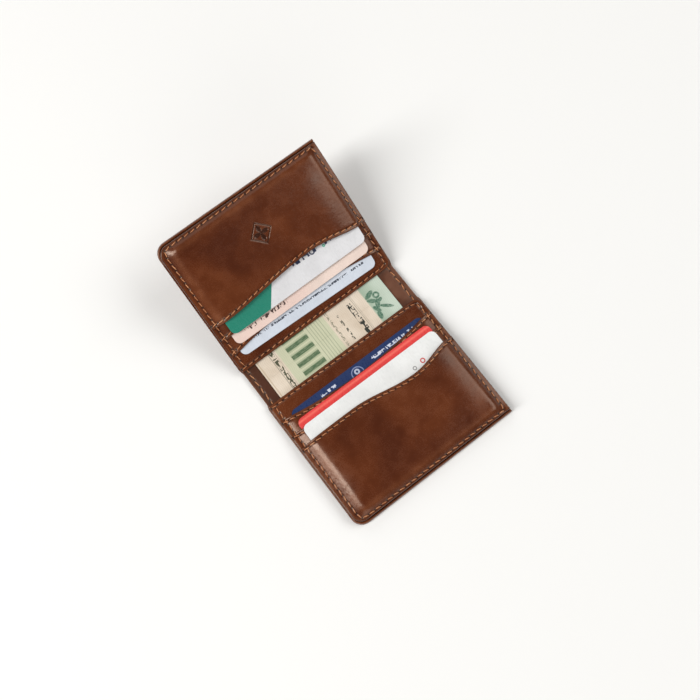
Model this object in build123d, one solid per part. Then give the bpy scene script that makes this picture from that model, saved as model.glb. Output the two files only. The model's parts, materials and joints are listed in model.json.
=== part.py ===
from build123d import *
import math
import os

# A bifold card wallet lying open: a lower half and a spine strip flat on the table, and an upper
# half that stands a little off it. Each half is a stack of leather panels with three card slots.
#
# Frame: origin at the centre of the lower half's outside face, +X along the fold lines, +Y from
# the lower half towards the upper half, +Z up. Lengths are in mm, angles in degrees.
#
# Each half is drawn in its own frame: u along the fold, s from the fold line out to the outer
# edge, z up from the outside face. place() puts it in the wallet's frame.

# ---- Size of the wallet ----
wallet_width = 100.0
half_depth = 79.2
spine_width = 21.0
rest_raise = 27.0
corner_radius = 6.5
sharp_corner_radius = 0.9
fold_slit = 0.15

# ---- Leather layers ----
cover_thickness = 1.2
lining_thickness = 0.6
bill_gap = 0.6
base_thickness = 1.0
panel_side_inset = 0.8
panel_end_inset = 1.6
base_edge = 1.0
base_corner_radius = 4.5
bill_room_half_width = 43.6
bill_room_depth = 72.0
spine_side_inset = 0.9

# ---- Cards, to the common bank-card size, and their slots ----
card_width = 85.6
card_height = 53.98
card_thickness = 0.76
card_corner_radius = 3.18
card_play = 0.1
slot_corner_radius = 3.6

# ---- Pockets, from the one nearest the spine to the one nearest the outer edge ----
pocket_names = ["rear", "middle", "front"]
pocket_thickness = [0.8, 0.8, 1.0]
flange_thickness = [0.5, 0.5, 0.8]
slot_half_width_top = [44.0, 44.2, 44.5]
slot_half_width_bottom = [44.1, 45.0, 45.4]
pocket_half_width_top = [44.4, 44.6, 45.0]
pocket_half_width_bottom = [44.9, 45.3, 45.8]
slot_end_play = 0.25
slot_slope = [0.1, 0.25, 0.3]
wall_slope = [0.3, 0.4, 0.45]
mouth_end = [10.5, 19.8, 29.1]
scoop_depth = 5.0
dip_depth = 4.7
dip_centre = {"lower": 21.0, "upper": 15.0}
dip_reach_left = {"lower": 38.0, "upper": 62.0}
dip_reach_right = {"lower": 27.0, "upper": 34.0}

# ---- Where each card's top edge lies, its sideways offset, tilt and name ----
cards = {
    "lower": [
        ("lower_navy_card", 10.2, 0.3, 0.0),
        ("lower_red_card", 16.2, 0.2, 0.0),
        ("lower_white_card", 20.7, 0.4, 0.0),
    ],
    "upper": [
        ("upper_pale_card", 6.8, -0.2, -1.5),
        ("upper_peach_card", 14.8, -0.1, 0.0),
        ("upper_green_white_card", 20.7, 0.9, 0.0),
    ],
}

# ---- Banknote, folded in half a little off its middle ----
note_width = 80.5
note_across = 66.0
note_thickness = 0.4
note_offset = -1.0
note_fold_clearance = 0.7

# ---- Stitches ----
stitch_pitch = 3.8
stitch_length = 2.9
stitch_width = 0.6
stitch_height = 0.35
hem_inset = 1.8
side_seam_inset = 3.5
end_seam_inset = 3.2
seam_corner_radius = 3.2
seam_start = 3.2
hem_half_length = 42.6
bottom_seam_gap = 1.2
groove_width = 1.0
groove_depth = 0.45
hem_groove_width = 0.8
edge_steps = 20

# ---- Levels above the outside face ----
lining_top = cover_thickness + lining_thickness
base_top = lining_top + bill_gap + base_thickness
fold_axis_z = lining_top
lower_fold_y = half_depth / 2
upper_fold_y = lower_fold_y + spine_width

card_floor = []
slot_roof = []
pocket_top = []
flange_top = []
level = base_top
seam_level = base_top
for wall, flange in zip(pocket_thickness, flange_thickness):
    card_floor.append(level + card_play)
    slot_roof.append(level + card_thickness + 2 * card_play)
    level = slot_roof[-1] + wall
    seam_level += flange
    pocket_top.append(level)
    flange_top.append(seam_level)


def place(side, solid):
    """Move a solid from a half's own frame to the wallet's frame."""
    if side == "lower":
        return Pos(0, lower_fold_y, 0) * mirror(solid, about=Plane.XZ)
    hinge = Pos(0, upper_fold_y, fold_axis_z) * Rot(rest_raise, 0, 0)
    return hinge * Pos(0, 0, -fold_axis_z) * solid


def save(name, *solids):
    """Write one node as a STEP file."""
    whole = solids[0] if len(solids) == 1 else Compound(children=list(solids))
    export_step(whole, f"parts/{name}.step")


def half_outline(side_inset, end_inset, fold_edge, fold_corner_radius=0.0):
    """Face of one panel of a half: rounded outer corner on the left, a sharp one on the right."""
    width = wallet_width - 2 * side_inset
    depth = half_depth - end_inset - fold_edge
    face = Pos(0, fold_edge + depth / 2) * Rectangle(width, depth)
    outer = face.vertices().filter_by(lambda v: v.Y > half_depth / 2).sort_by(Axis.X)
    face = fillet(outer[0], corner_radius - side_inset)
    outer = face.vertices().filter_by(lambda v: v.Y > half_depth / 2).sort_by(Axis.X)
    face = fillet(outer[-1], sharp_corner_radius)
    if fold_corner_radius:
        inner = face.vertices().filter_by(lambda v: v.Y < half_depth / 2).sort_by(Axis.X)
        face = fillet(inner[-1], fold_corner_radius)
    return face


def mouth(side, k, u):
    """Distance from the fold line to the edge of pocket k's mouth, at u."""
    if pocket_names[k] != "front":
        return mouth_end[k] + scoop_depth * (1 - (2 * u / wallet_width) ** 2)
    offset = u - dip_centre[side]
    reach = dip_reach_right[side] if offset > 0 else dip_reach_left[side]
    if abs(offset) > reach:
        return mouth_end[k]
    return mouth_end[k] + dip_depth * (1 + math.cos(math.pi * offset / reach)) / 2


def edge_points(edge, half_length, shift=0.0):
    """Points along an edge. edge(u) is its distance from the fold line."""
    points = []
    for i in range(edge_steps + 1):
        u = half_length * (2 * i / edge_steps - 1)
        points.append((u, edge(u) + shift))
    return points


def mouth_cutter(side, k):
    """Block that keeps what lies beyond the mouth edge, towards the outer edge."""
    right = wallet_width / 2
    far = half_depth + 1
    points = edge_points(lambda u: mouth(side, k, u), right)
    frame = Polyline(points[-1], (right, far), (-right, far), points[0])
    return extrude(make_face([Spline(*points), frame]), pocket_top[-1] + 1)


def hem_groove(edge, height):
    """Groove beside a hem, as deep as the stitches that lie in it."""
    reach = hem_half_length + stitch_length / 2
    near = edge_points(edge, reach, hem_inset - hem_groove_width / 2)
    far = edge_points(edge, reach, hem_inset + hem_groove_width / 2)
    outline = [Spline(*near), Line(near[-1], far[-1]), Spline(*far), Line(far[0], near[0])]
    groove = extrude(make_face(outline), stitch_height)
    return Pos(0, 0, height - stitch_height) * groove


def frustum(half_width, end, level_low, level_high):
    """Block that narrows upwards. half_width and end are (bottom, top) pairs."""
    faces = []
    for width, stop, z in zip(half_width, end, (level_low, level_high)):
        shape = RectangleRounded(2 * width, stop, slot_corner_radius)
        faces.append(Pos(0, stop / 2, z) * shape)
    return loft(faces)


def pocket(side, k):
    """Pocket k: a flange sewn into the perimeter seam, and a raised part over the card."""
    card_end = cards[side][k][1] + card_height
    if k == 0:
        card_end += card_width / 2 * math.sin(math.radians(abs(cards[side][k][3])))
    roof_end = card_end + slot_end_play
    floor_end = roof_end + slot_slope[k]
    floor = base_top if k == 0 else flange_top[k - 1]
    flange = extrude(half_outline(panel_side_inset, panel_end_inset, base_edge), flange_thickness[k])
    outside = frustum(
        (pocket_half_width_bottom[k], pocket_half_width_top[k]),
        (floor_end + wall_slope[k], roof_end + wall_slope[k]),
        flange_top[k],
        pocket_top[k],
    )
    inside = frustum(
        (slot_half_width_bottom[k], slot_half_width_top[k]),
        (floor_end, roof_end),
        floor,
        slot_roof[k],
    )
    shell = (Pos(0, 0, floor) * flange + outside - inside) & mouth_cutter(side, k)
    return shell - hem_groove(lambda u: mouth(side, k, u), pocket_top[k])


def base_panel():
    """Panel that carries the pockets. Its thick rim leaves the room for banknotes below it."""
    outline = half_outline(panel_side_inset, panel_end_inset, base_edge, base_corner_radius)
    panel = Pos(0, 0, lining_top) * extrude(outline, bill_gap + base_thickness)
    align = (Align.CENTER, Align.MIN, Align.MIN)
    room = Box(2 * bill_room_half_width, bill_room_depth, bill_gap, align=align)
    return panel - Pos(0, 0, lining_top) * room - hem_groove(lambda u: base_edge, base_top)


def stitch_at(u, s, z, angle):
    """A stitch whose underside is at height z, turned to lie along its seam."""
    stitch = extrude(SlotOverall(stitch_length, stitch_width), stitch_height)
    return Pos(u, s, z) * Rot(0, 0, angle) * stitch


def surface_level(side, u, s):
    """Height of the sewn flange stack at a point of the side or end seam."""
    height = base_top
    for k in range(len(pocket_names)):
        if s > mouth(side, k, u):
            height = flange_top[k]
    return height


def perimeter_path():
    """Line of the seam round the sides and the outer edge of a half."""
    side_u = wallet_width / 2 - side_seam_inset
    end_s = half_depth - end_seam_inset
    corners = [(-side_u, seam_start), (-side_u, end_s), (side_u, end_s), (side_u, seam_start)]
    return FilletPolyline(*corners, radius=[seam_corner_radius, sharp_corner_radius])


def perimeter_stitches(side):
    """Stitches on both faces of the perimeter seam."""
    path = perimeter_path()
    count = round(path.length / stitch_pitch)
    solids = []
    for i in range(count):
        place_on_path = (i + 0.5) / count
        point = path.position_at(place_on_path)
        along = path.tangent_at(place_on_path)
        angle = math.degrees(math.atan2(along.Y, along.X))
        ends = [point.Y - abs(along.Y) * stitch_length / 2, point.Y + abs(along.Y) * stitch_length / 2]
        height = max(surface_level(side, point.X, s) for s in ends)
        solids.append(stitch_at(point.X, point.Y, height, angle))
        solids.append(stitch_at(point.X, point.Y, groove_depth - stitch_height, angle))
    return solids


def stitch_row(edge, height):
    """Stitches beside an edge, lying on a surface at a height."""
    count = round(2 * hem_half_length / stitch_pitch)
    solids = []
    for i in range(count + 1):
        u = -hem_half_length + 2 * hem_half_length * i / count
        rise = edge(u + stitch_length / 2) - edge(u - stitch_length / 2)
        angle = math.degrees(math.atan2(rise, stitch_length))
        solids.append(stitch_at(u, edge(u) + hem_inset, height, angle))
    return solids


def bottom_seam(side, k):
    """Hidden stitches that close the bottom of slot k, on its own flange."""
    card_end = cards[side][k][1] + card_height
    s = card_end + slot_end_play + slot_slope[k] + wall_slope[k] + bottom_seam_gap
    if k == 0:
        s += card_width / 2 * math.sin(math.radians(abs(cards[side][k][3])))
    return stitch_row(lambda u: s - hem_inset, flange_top[k])


def cover():
    """Outer cover of a half, with a shallow groove under the perimeter stitches."""
    groove = extrude(trace(perimeter_path(), line_width=groove_width), groove_depth)
    return extrude(half_outline(0, 0, fold_slit), cover_thickness) - groove


def card(side, k):
    """Card in slot k, drawn where it lies in the half's frame."""
    name, top_edge, offset, tilt = cards[side][k]
    solid = extrude(RectangleRounded(card_width, card_height, card_corner_radius), card_thickness)
    return Pos(offset, top_edge + card_height / 2, card_floor[k]) * Rot(0, 0, tilt) * solid


def note_leaf(depth):
    """Flat leaf of the folded banknote, from y = 0 up to depth."""
    align = (Align.CENTER, Align.MIN, Align.MIN)
    return Box(note_width, depth, note_thickness, align=align)


def make_half(side):
    """Write every node of one half."""
    lining = extrude(half_outline(panel_side_inset, panel_end_inset, fold_slit), lining_thickness)
    save(f"{side}_cover", place(side, cover()))
    save(f"{side}_lining", place(side, Pos(0, 0, cover_thickness) * lining))
    save(f"{side}_base_panel", place(side, base_panel()))
    seams = {
        "perimeter_stitches": perimeter_stitches(side),
        "base_hem_stitches": stitch_row(lambda u: base_edge, base_top - stitch_height),
    }
    for k, name in enumerate(pocket_names):
        save(f"{side}_{name}_pocket", place(side, pocket(side, k)))
        hem_floor = pocket_top[k] - stitch_height
        seams[f"{name}_hem_stitches"] = stitch_row(lambda u: mouth(side, k, u), hem_floor)
        if name != "front":
            seams[f"{name}_bottom_seam"] = bottom_seam(side, k)
        save(cards[side][k][0], place(side, card(side, k)))
    for name, solids in seams.items():
        save(f"{side}_{name}", *[place(side, solid) for solid in solids])
    depth = (note_across - spine_width) / 2 - note_fold_clearance
    leaf = Pos(note_offset, note_fold_clearance, lining_top) * note_leaf(depth)
    save(f"banknote_{side}_leaf", place(side, leaf))


def make_spine():
    """Write the strip that joins the halves, its lining, its seams and the note lying on it."""
    width = wallet_width - 2 * spine_side_inset
    strip = Rectangle(width, spine_width - 2 * fold_slit)
    middle_y = lower_fold_y + spine_width / 2
    lining = Pos(0, middle_y, cover_thickness) * extrude(strip, lining_thickness)
    grooves = []
    stitches = []
    seam_u = wallet_width / 2 - side_seam_inset
    count = round(spine_width / stitch_pitch)
    for u in (-seam_u, seam_u):
        grooves.append(Pos(u, middle_y) * Box(groove_width, spine_width, 2 * groove_depth))
        for i in range(count):
            y = lower_fold_y + spine_width * (i + 0.5) / count
            stitches.append(stitch_at(u, y, lining_top, 90))
            stitches.append(stitch_at(u, y, groove_depth - stitch_height, 90))
    strap = Pos(0, middle_y) * extrude(strip, cover_thickness)
    leaf = note_leaf(spine_width - 2 * note_fold_clearance)
    save("spine_cover", strap - grooves)
    save("spine_lining", lining)
    save("spine_stitches", *stitches)
    save("banknote_middle_leaf", Pos(note_offset, lower_fold_y + note_fold_clearance, lining_top) * leaf)


os.makedirs("parts", exist_ok=True)
make_half("lower")
make_half("upper")
make_spine()
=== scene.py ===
import bpy
import math
import numpy as np
from mathutils import Matrix, Vector
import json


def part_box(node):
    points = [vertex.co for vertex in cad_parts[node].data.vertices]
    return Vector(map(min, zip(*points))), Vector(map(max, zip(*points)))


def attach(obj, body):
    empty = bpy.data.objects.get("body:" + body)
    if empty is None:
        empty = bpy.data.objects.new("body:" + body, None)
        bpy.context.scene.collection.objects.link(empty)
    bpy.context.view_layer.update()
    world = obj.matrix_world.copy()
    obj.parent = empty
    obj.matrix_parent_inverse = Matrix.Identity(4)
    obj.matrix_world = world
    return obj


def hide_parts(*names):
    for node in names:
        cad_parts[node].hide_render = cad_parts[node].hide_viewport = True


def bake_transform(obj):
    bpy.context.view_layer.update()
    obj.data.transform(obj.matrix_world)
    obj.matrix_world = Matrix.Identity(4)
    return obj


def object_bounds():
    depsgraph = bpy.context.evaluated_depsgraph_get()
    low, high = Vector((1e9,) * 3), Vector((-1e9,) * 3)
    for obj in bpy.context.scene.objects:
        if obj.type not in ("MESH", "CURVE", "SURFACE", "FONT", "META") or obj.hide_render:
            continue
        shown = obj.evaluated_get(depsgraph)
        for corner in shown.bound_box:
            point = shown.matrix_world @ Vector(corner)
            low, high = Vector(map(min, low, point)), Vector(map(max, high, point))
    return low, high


# The looks of an open bifold wallet: leather panels draped over bank cards, sewn with thick thread.
#
# Shapes are worked out in mm in each half's own frame: u along the fold, s from the fold line out
# to the outer edge, z up from the outside face. row_points() takes them to the row frame in metres.

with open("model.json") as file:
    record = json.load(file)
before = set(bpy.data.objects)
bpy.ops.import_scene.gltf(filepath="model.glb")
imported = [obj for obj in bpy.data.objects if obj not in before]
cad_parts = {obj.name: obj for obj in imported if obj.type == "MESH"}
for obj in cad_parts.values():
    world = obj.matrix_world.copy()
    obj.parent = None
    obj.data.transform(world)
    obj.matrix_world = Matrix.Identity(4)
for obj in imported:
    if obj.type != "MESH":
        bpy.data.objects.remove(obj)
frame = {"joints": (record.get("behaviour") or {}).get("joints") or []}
cad_low, cad_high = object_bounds()

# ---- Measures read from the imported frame, in mm ----
MM = 0.001
SIDES = ("lower", "upper")
POCKETS = ("rear", "middle", "front")
CARDS = {"lower": ("navy", "red", "white"), "upper": ("pale", "peach", "green_white")}

joints = {joint["name"]: joint for joint in frame["joints"]}
fold_y = {side: joints[f"fold_{side}"]["pos_m"][1] / MM for side in SIDES}
fold_z = joints["fold_lower"]["pos_m"][2] / MM
slide_axis = joints["upper_pale_card_slide"]["axis"]
raise_angle = math.atan2(slide_axis[2], slide_axis[1])


def node_box(name):
    """Lowest and highest corner of a CAD node."""
    low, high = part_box(name)
    return np.array(low) / MM, np.array(high) / MM


half_width = node_box("lower_cover")[1][0]
half_depth = fold_y["lower"] - node_box("lower_cover")[0][1]
spine_width = fold_y["upper"] - fold_y["lower"]
spine_half_width = node_box("spine_cover")[1][0]
cover_top = node_box("lower_cover")[1][2]
lining_top = node_box("lower_lining")[1][2]
panel_half_width = node_box("lower_base_panel")[1][0]
panel_end = fold_y["lower"] - node_box("lower_base_panel")[0][1]
base_edge = fold_y["lower"] - node_box("lower_base_panel")[1][1]
base_top = node_box("lower_base_panel")[1][2]
mouth_end = [fold_y["lower"] - node_box(f"lower_{name}_pocket")[1][1] for name in POCKETS]
pocket_top = [node_box(f"lower_{name}_pocket")[1][2] for name in POCKETS]
card_floor = [node_box(f"lower_{name}_card")[0][2] for name in CARDS["lower"]]
card_top = [node_box(f"lower_{name}_card")[1][2] for name in CARDS["lower"]]

# ---- Leather shapes ----
CORNER_RADIUS = 6.5
SHARP_RADIUS = 1.0
BASE_CORNER_RADIUS = 4.5
BILL_ROOM = 0.6
FLANGE = (0.6, 0.6, 0.95)
SCOOP_DEPTH = 5.0
DIP_DEPTH = 4.7
DIP_CENTRE = {"lower": 21.0, "upper": 15.0}
DIP_REACH = {"lower": (38.0, 27.0), "upper": (62.0, 34.0)}
SEAM_U = 46.5
SEAM_END = 76.3
SEAM_RADIUS = 3.2
HEM_INSET = 1.8
HEM_REACH = 48.6
CREASE = 3.0
FAR = 200.0
PUFF = 1.35
SIDE_RISE = 7.0
OUTER_RISE = 9.6
LIP = 0.15
DRAPE_ROUNDS = 160
CARD_AIR = 0.1
MARK_PLACE = (-0.7, 56.0)
MARK_SIZE = 13.5

# ---- Cards, banknote and thread ----
CARD_HALF_WIDTH = 42.8
CARD_HALF_HEIGHT = 26.99
CARD_RADIUS = 3.18
CARD_TILT = {"pale": math.radians(-1.5)}
NOTE_LONG = 156.0
NOTE_SHEET = 0.11
NOTE_TURN = 0.13
PITCH = 3.8
STRAND_RADIUS = 0.155
PLY_OFFSET = 0.13
SLANT = math.radians(9)
SUNK = 0.36
RINGS = 13
ROUND = 6

rng = np.random.default_rng(7)


# ================================ Geometry ================================

def smooth(low, high, x):
    """0 below low, 1 above high, and a smooth rise between."""
    t = np.clip((x - low) / (high - low), 0, 1)
    return t * t * (3 - 2 * t)


def bell(x, width):
    """1 at x = 0, falling off smoothly over width on both sides."""
    return np.exp(-((x / width) ** 2))


def row_points(side, points, bends=False):
    """Points of a half's frame, in the row frame in metres.

    Where the sheet bends at the fold, the points past it lie flat on the spine.
    """
    u, s, z = (np.asarray(points)[..., axis] for axis in range(3))
    if side == "lower":
        return np.stack([u, fold_y[side] - s, z], -1) * MM
    angle = raise_angle * (smooth(-CREASE, CREASE, s) if bends else 1.0)
    height = z - fold_z
    y = fold_y[side] + s * np.cos(angle) - height * np.sin(angle)
    return np.stack([u, y, fold_z + s * np.sin(angle) + height * np.cos(angle)], -1) * MM


def inside_distance(u, s, box, radii):
    """Distance inside the rectangle box (left, right, near, far), negative outside it.

    radii are those of its far left, far right, near left and near right corners.
    """
    left, right, near, far = box
    across = u - (left + right) / 2
    along = s - (near + far) / 2
    far_radius = np.where(across < 0, radii[0], radii[1])
    near_radius = np.where(across < 0, radii[2], radii[3])
    radius = np.where(along > 0, far_radius, near_radius)
    across = np.abs(across) - (right - left) / 2 + radius
    along = np.abs(along) - (far - near) / 2 + radius
    outside = np.hypot(np.maximum(across, 0), np.maximum(along, 0))
    return radius - np.minimum(np.maximum(across, along), 0) - outside


def mouth(side, k, u):
    """Distance from the fold line to the mouth edge of pocket k."""
    if POCKETS[k] != "front":
        return mouth_end[k] + SCOOP_DEPTH * (1 - (u / half_width) ** 2)
    offset = u - DIP_CENTRE[side]
    reach = np.where(offset > 0, DIP_REACH[side][1], DIP_REACH[side][0])
    phase = np.clip(np.abs(offset) / reach, 0, 1)
    return mouth_end[k] + DIP_DEPTH * (1 + np.cos(math.pi * phase)) / 2


def seam_distance(u, s):
    """Distance inside the seam that runs round the sides and the outer edge."""
    box = (-SEAM_U, SEAM_U, -FAR, SEAM_END)
    return inside_distance(u, s, box, (SEAM_RADIUS, SHARP_RADIUS, 0, 0))


# ---- Height fields of the draped leather ----
CELL = 0.5
U_AXIS = np.arange(-52.0, 52.01, CELL)
S_AXIS = np.arange(-2.0, 82.01, CELL)
U_GRID, S_GRID = np.meshgrid(U_AXIS, S_AXIS)


def neighbours(field):
    """Mean of the four neighbours of every cell."""
    wide = np.pad(field, 1, mode="edge")
    return (wide[:-2, 1:-1] + wide[2:, 1:-1] + wide[1:-1, :-2] + wide[1:-1, 2:]) / 4


def soften(field, rounds):
    """Blur a field, as stiff leather rounds off what it lies on."""
    for _ in range(rounds):
        field = (field + neighbours(field)) / 2
    return field


def sample(field, u, s):
    """Value of a field at points, by cubic splines."""
    x = (u - U_AXIS[0]) / CELL
    y = (s - S_AXIS[0]) / CELL
    column = np.clip(np.floor(x).astype(int), 1, len(U_AXIS) - 3)
    row = np.clip(np.floor(y).astype(int), 1, len(S_AXIS) - 3)
    total = 0
    for j, row_weight in enumerate(spline_weights(np.clip(y - row, 0, 1))):
        for i, column_weight in enumerate(spline_weights(np.clip(x - column, 0, 1))):
            total = total + row_weight * column_weight * field[row + j - 1, column + i - 1]
    return total


def spline_weights(t):
    """Weights of four cells in a row for a point t of the way from the second to the third."""
    return (
        (1 - t) ** 3 / 6,
        (3 * t**3 - 6 * t**2 + 4) / 6,
        (-3 * t**3 + 3 * t**2 + 3 * t + 1) / 6,
        t**3 / 6,
    )


def card_place(side, k):
    """Middle of a card in its half's frame: (u, s)."""
    low, high = node_box(f"{side}_{CARDS[side][k]}_card")
    middle = (low + high) / 2
    if side == "lower":
        return middle[0], fold_y[side] - middle[1]
    height = (card_floor[k] + card_top[k]) / 2 - fold_z
    return middle[0], (middle[1] - fold_y[side] + height * math.sin(raise_angle)) / math.cos(raise_angle)


def rise(from_seam, reach):
    """Share of the full puff of the front pocket at a distance from a seam."""
    return 1 - bell(np.maximum(from_seam - 1.0, 0), reach)


def drape(side):
    """Bottom and top height fields of a half's three pocket panels, as stiff sheets over the cards."""
    below = np.full(U_GRID.shape, base_top)
    inside_seam = seam_distance(U_GRID, S_GRID)
    skins = []
    for k in range(len(POCKETS)):
        middle_u, middle_s = card_place(side, k)
        reach_u = CARD_HALF_WIDTH + 0.4
        reach_s = CARD_HALF_HEIGHT + 0.3
        card_box = (middle_u - reach_u, middle_u + reach_u, -FAR, middle_s + reach_s)
        over_card = inside_distance(U_GRID, S_GRID, card_box, (CARD_RADIUS,) * 4) > 0
        roof = card_top[k] + CARD_AIR
        floor = np.where(over_card, np.maximum(below, roof), below)
        skin = np.where(inside_seam > 0, np.maximum(floor, roof), floor)
        for _ in range(DRAPE_ROUNDS):
            skin = np.where(inside_seam > 0, np.maximum(floor, neighbours(skin)), floor)
        thickness = pocket_top[k] - roof
        grown = FLANGE[k] + (thickness - FLANGE[k]) * smooth(0, 2, inside_seam)
        top = soften(skin + grown, 24)
        skin = soften(skin, 3)
        if POCKETS[k] == "front":
            crown = PUFF * rise(SEAM_U - np.abs(U_GRID), SIDE_RISE) * rise(SEAM_END - S_GRID, OUTER_RISE)
            from_mouth = S_GRID - mouth(side, k, U_GRID)
            lip = LIP * bell(np.maximum(from_mouth, 0), 5.0) * bell(U_GRID, 34.0)
            slack = 0.08 * np.sin(U_GRID / 9.3 + 1.1) * np.sin(S_GRID / 11.7 + U_GRID / 23.0)
            raised = (crown + lip + slack * smooth(2, 9, inside_seam)) * smooth(0, 3, inside_seam)
            skin = skin + raised
            top = top + raised
        top = np.maximum(top, skin + 0.25)
        skins.append((skin, top))
        below = top
    return skins


# ---- Seams ----

def rounded_path(corners, radii, step=0.2):
    """Dense points along a polyline whose inner corners are rounded."""
    points = [np.array(corners[0], float)]
    for before, corner, after, radius in zip(corners, corners[1:], corners[2:], radii):
        corner = np.array(corner, float)
        arrive = (corner - before) / np.linalg.norm(corner - before)
        leave = (after - corner) / np.linalg.norm(after - corner)
        start = corner - arrive * radius
        finish = corner + leave * radius
        points.append(start)
        for i in range(1, 12):
            t = i / 12
            points.append((1 - t) ** 2 * start + 2 * t * (1 - t) * corner + t**2 * finish)
        points.append(finish)
    points.append(np.array(corners[-1], float))
    return even_points(np.array(points), step)


def even_points(points, step):
    """Points of a polyline at even steps close to step."""
    length = np.concatenate([[0], np.cumsum(np.linalg.norm(np.diff(points, axis=0), axis=1))])
    count = max(2, round(length[-1] / step))
    at = np.linspace(0, length[-1], count + 1)
    return np.stack([np.interp(at, length, points[:, axis]) for axis in range(2)], -1)


def perimeter_path():
    """Seam round the sides and outer edge. On the right it meets the rounded end of the base hem."""
    right_start = base_edge + HEM_INSET + BASE_CORNER_RADIUS
    corners = [(-SEAM_U, 3.4), (-SEAM_U, SEAM_END), (SEAM_U, SEAM_END), (SEAM_U, right_start)]
    return rounded_path(corners, (SEAM_RADIUS, SHARP_RADIUS))


def base_hem_path():
    """Hem beside the base panel's edge, turning round its right corner into the side seam."""
    hem_s = base_edge + HEM_INSET
    corner = [(-HEM_REACH, hem_s), (SEAM_U, hem_s), (SEAM_U, hem_s + BASE_CORNER_RADIUS)]
    return rounded_path(corner, (BASE_CORNER_RADIUS - HEM_INSET,))


def hem_path(side, k):
    """Hem beside the mouth of pocket k."""
    u = np.linspace(-HEM_REACH, HEM_REACH, 160)
    return even_points(np.stack([u, mouth(side, k, u) + HEM_INSET], -1), 0.2)


def line_distance(u, s, path):
    """Distance from grid points to a seam, exact enough within a few mm of it."""
    nearest = np.full(u.shape, 99.0)
    for point in path[::3]:
        nearest = np.minimum(nearest, np.hypot(u - point[0], s - point[1]))
    return nearest


def dents(u, s, paths, pull=0.16):
    """How deep the seams pull the leather down at each point, and the painted shade of their grooves and
    holes.
    """
    depth = np.zeros(u.shape)
    dark = np.zeros(u.shape)
    for path in paths:
        near = line_distance(u, s, path)
        depth += pull * bell(near, 0.75)
        # Painted shade along the seam's groove, and below, painted shade in each stitch hole.
        dark += 0.35 * bell(near, 0.8)
        for hole in even_points(path, PITCH):
            gap = np.hypot(u - hole[0], s - hole[1])
            depth += 0.32 * bell(gap, 0.45)
            dark += 1.1 * bell(gap, 0.55)
    return depth, np.clip(dark, 0, 1)


# ---- Meshes ----

def new_piece(name, points, faces, material, **attributes):
    """Mesh object from row-frame points and quads, turned so that its faces look outwards."""
    points = np.asarray(points, float).reshape(-1, 3)
    faces = np.asarray(faces, int)
    a, b, c, d = (points[faces[:, i]] for i in range(4))
    volume = sum(
        np.einsum("ij,ij->", np.cross(p - a, q - a), a) for p, q in ((b, c), (c, d))
    )
    if volume < 0:
        faces = faces[:, ::-1]
    mesh = bpy.data.meshes.new(name)
    mesh.vertices.add(len(points))
    mesh.vertices.foreach_set("co", points.ravel())
    mesh.loops.add(faces.size)
    mesh.loops.foreach_set("vertex_index", faces.ravel())
    mesh.polygons.add(len(faces))
    mesh.polygons.foreach_set("loop_start", np.arange(0, faces.size, 4))
    mesh.update(calc_edges=True)
    mesh.polygons.foreach_set("use_smooth", np.ones(len(faces), bool))
    for key, values in attributes.items():
        values = np.asarray(values, float)
        kind = "FLOAT_VECTOR" if values.ndim == 2 else "FLOAT"
        layer = mesh.attributes.new(key, kind, "POINT")
        layer.data.foreach_set("vector" if values.ndim == 2 else "value", values.ravel())
    mesh.materials.append(material)
    piece = bpy.data.objects.new(name, mesh)
    bpy.context.scene.collection.objects.link(piece)
    return piece


def grid_quads(index):
    """Quads between neighbouring entries of a grid of vertex numbers."""
    quads = np.stack([index[:-1, :-1], index[:-1, 1:], index[1:, 1:], index[1:, :-1]], -1)
    return quads.reshape(-1, 4)


def shell(top, bottom):
    """Closed shell from two grids of points that share their border: points, quads."""
    rows, columns = top.shape[:2]
    upper = np.arange(rows * columns).reshape(rows, columns)
    lower = upper.copy()
    inner = (rows - 2) * (columns - 2)
    lower[1:-1, 1:-1] = rows * columns + np.arange(inner).reshape(rows - 2, columns - 2)
    channels = top.shape[2]
    points = np.concatenate([top.reshape(-1, channels), bottom[1:-1, 1:-1].reshape(-1, channels)])
    return points, np.concatenate([grid_quads(upper), grid_quads(lower)[:, ::-1]])


def graded(low, high, step, bands=(), finest=0.06):
    """Values from low to high about step apart, closer at both ends and inside the bands.

    A band is (centre, reach to each side, step).
    """
    x = np.linspace(low, high, 4001)
    size = np.minimum(step, finest + 0.25 * np.minimum(x - low, high - x))
    for centre, reach, fine in bands:
        size = np.minimum(size, fine + 0.35 * np.maximum(np.abs(x - centre) - reach, 0))
    count = np.concatenate([[0], np.cumsum(np.diff(x) * (1 / size[1:] + 1 / size[:-1]) / 2)])
    return np.interp(np.linspace(0, count[-1], math.ceil(count[-1]) + 1), count, x)


def round_corner(u, s, corner, toward, radius):
    """Pull a grid's square corner in to a round one. toward is the way out of it, such as (-1, 1)."""
    a = np.clip(1 - (corner[0] - u) * toward[0] / radius, 0, 1)
    b = np.clip(1 - (corner[1] - s) * toward[1] / radius, 0, 1)
    round_u = u + radius * a * (np.sqrt(1 - b * b / 2) - 1) * toward[0]
    round_s = s + radius * b * (np.sqrt(1 - a * a / 2) - 1) * toward[1]
    inside = (a > 0) & (b > 0)
    return np.where(inside, round_u, u), np.where(inside, round_s, s)


def edge_profile(distance, radius, power=2.0):
    """Share of full thickness at a distance inside a rounded edge."""
    x = np.clip(1 - distance / radius, 0, 1)
    return (1 - x**power) ** (1 / power)


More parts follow.
